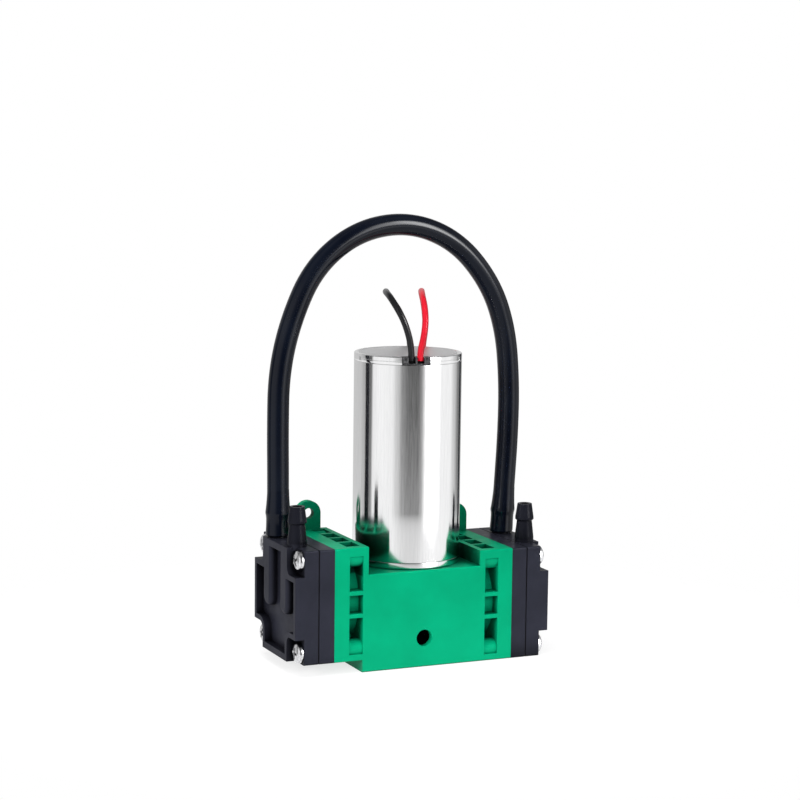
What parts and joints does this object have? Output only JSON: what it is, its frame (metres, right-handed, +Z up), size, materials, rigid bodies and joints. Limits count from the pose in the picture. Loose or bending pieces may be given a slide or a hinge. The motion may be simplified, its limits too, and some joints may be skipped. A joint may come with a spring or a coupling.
{
  "type": "diaphragm vacuum pump",
  "caption": "Electric diaphragm vacuum pump: an upright motor on a moulded frame drives opposed pump heads, joined by an arching hose.",
  "frame": {"origin": "middle of the frame's base, on the surface it stands on, centred between the two heads", "axes": "+X from the raised left head to the right head, +Y to the back where the mounting ears are, +Z up along the motor"},
  "size_m": [0.1108, 0.0847, 0.1735],
  "materials": {
    "green_moulding": "satin moulded",
    "black_moulding": "fine moulded texture",
    "cover_moulding": "plain",
    "can_steel": "polished plating",
    "screw_steel": "bright plating",
    "shaft_steel": "ground",
    "bearing_steel": "polished",
    "cast_zinc": "die cast",
    "lamination": "stacked sheets",
    "copper_windings": "enamelled",
    "magnet": "bonded",
    "board": "solder mask",
    "white_nylon": "plain",
    "retainer_aluminium": "turned",
    "diaphragm_rubber": "matt",
    "seal_rubber": "matt",
    "hose_rubber": "glossy",
    "black_insulation": "satin",
    "red_insulation": "satin"
  },
  "bodies": {
    "pump_body": {"frame": "green_moulding", "base_cover": "cover_moulding", "base_screws": "screw_steel", "motor_bell": "can_steel", "motor_can": "can_steel", "motor_cap": "can_steel", "lead_grommet": "seal_rubber", "stator_core": "lamination", "stator_coils": "copper_windings", "bearing_bracket": "white_nylon", "driver_board": "board", "motor_bearing_low": "bearing_steel", "motor_bearing_top": "bearing_steel", "motor_screws": "screw_steel", "hose": "hose_rubber", "lead_black": "black_insulation", "lead_coil_black": "black_insulation", "lead_red": "red_insulation", "lead_coil_red": "red_insulation", "diaphragm_left": "diaphragm_rubber", "valve_plate_left": "black_moulding", "valve_sheet_left": "seal_rubber", "cover_left": "black_moulding", "head_screws_left": "screw_steel", "diaphragm_right": "diaphragm_rubber", "valve_plate_right": "black_moulding", "valve_sheet_right": "seal_rubber", "cover_right": "black_moulding", "head_screws_right": "screw_steel"},
    "crank": {"motor_shaft": "shaft_steel", "rotor_magnet": "magnet", "eccentric": "cast_zinc", "set_screw": "shaft_steel", "bearing_spacer": "shaft_steel", "retaining_ring": "shaft_steel", "bearing_inner_left": "bearing_steel", "bearing_inner_right": "bearing_steel"},
    "rod_left": {"connecting_rod_left": "white_nylon", "bearing_outer_left": "bearing_steel", "retainer_left": "retainer_aluminium", "retainer_screw_left": "screw_steel"},
    "rod_right": {"connecting_rod_right": "white_nylon", "bearing_outer_right": "bearing_steel", "retainer_right": "retainer_aluminium", "retainer_screw_right": "screw_steel"}
  },
  "joints": [
    {"name": "crank_spin", "type": "hinge", "parent": "pump_body", "child": "crank", "pos_m": [0.0015, 0, 0.022], "axis": [0, 0, 1], "continuous": true},
    {"name": "rod_right_swing", "type": "hinge", "parent": "crank", "child": "rod_right", "pos_m": [0.0033, 0, 0.022], "axis": [0, 0, 1], "continuous": true, "deforming": ["diaphragm_right"]},
    {"name": "rod_left_swing", "type": "hinge", "parent": "crank", "child": "rod_left", "pos_m": [0.0033, 0, 0.0267], "axis": [0, 0, 1], "continuous": true, "deforming": ["diaphragm_left"]}
  ],
  "couplings": [
    {"joint": "rod_right_swing", "follows": "crank_spin", "ratio": -1},
    {"joint": "rod_left_swing", "follows": "crank_spin", "ratio": -1}
  ]
}
